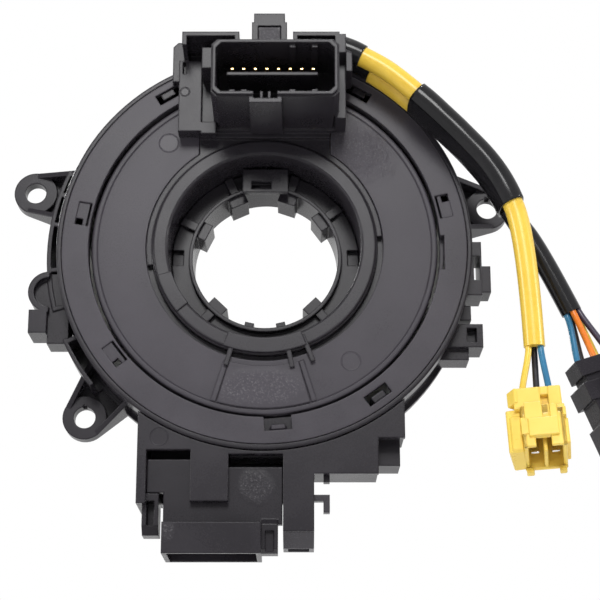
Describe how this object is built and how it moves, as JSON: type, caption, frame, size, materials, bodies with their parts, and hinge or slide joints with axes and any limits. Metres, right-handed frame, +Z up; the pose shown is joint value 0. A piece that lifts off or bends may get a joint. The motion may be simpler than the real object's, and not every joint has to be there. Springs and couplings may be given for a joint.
{
  "type": "steering clock spring",
  "caption": "Rotary connector for a steering column: a fixed round housing with sockets and screw ears, and a rotor with a block socket and hanging plug leads.",
  "frame": {"origin": "on the steering axis, in the plane of the back faces of the three screw ears", "axes": "+Y along the steering axis towards the column, -Y towards the steering wheel, +Z up to the latch tower"},
  "size_m": [0.1526, 0.0445, 0.1303],
  "materials": {
    "black_moulding": "satin moulded",
    "ring_moulding": "satin moulded",
    "disc_moulding": "fine grained",
    "grey_moulding": "satin moulded",
    "gold_contact": "gold flashed",
    "tinned_contact": "tin plated",
    "slide_film": "translucent white film",
    "cable_film": "flat cable film",
    "yellow_tube": "smooth tube",
    "black_tube": "soft tube",
    "wire_set_front": "coloured wires",
    "wire_set_rear": "coloured wires",
    "yellow_moulding": "smooth moulded"
  },
  "bodies": {
    "stator": {"stator_case": "black_moulding", "rear_plate": "black_moulding", "front_ring": "ring_moulding", "connector_housing": "black_moulding", "housing_cover": "black_moulding", "column_socket": "black_moulding", "column_pins": "gold_contact", "switch_header": "grey_moulding", "switch_pins": "gold_contact", "stator_lead_block": "black_moulding", "rear_slide_sheet": "slide_film", "flat_cable": "cable_film"},
    "rotor": {"rotor_disc": "disc_moulding", "hub_block": "black_moulding", "front_slide_sheet": "slide_film", "wheel_pins": "gold_contact", "rotor_lead_block": "black_moulding", "cancel_sleeve": "black_moulding", "lead_clamp": "black_moulding", "yellow_lead_tube": "yellow_tube", "black_lead_tube": "black_tube", "yellow_lead_boot": "black_tube", "black_lead_wrap": "yellow_tube", "binding_sleeve": "black_tube", "yellow_lead_wires": "wire_set_front", "black_lead_wires": "wire_set_rear", "yellow_plug": "yellow_moulding", "yellow_plug_lock": "yellow_moulding", "yellow_plug_terminals": "tinned_contact", "black_plug": "black_moulding", "black_plug_lock": "black_moulding", "black_plug_terminals": "tinned_contact"}
  },
  "joints": [
    {"name": "rotor_turn", "type": "hinge", "parent": "stator", "child": "rotor", "pos_m": [0, 0, 0], "axis": [0, 1, 0], "range_deg": [-900, 900], "deforming": ["flat_cable"]}
  ]
}
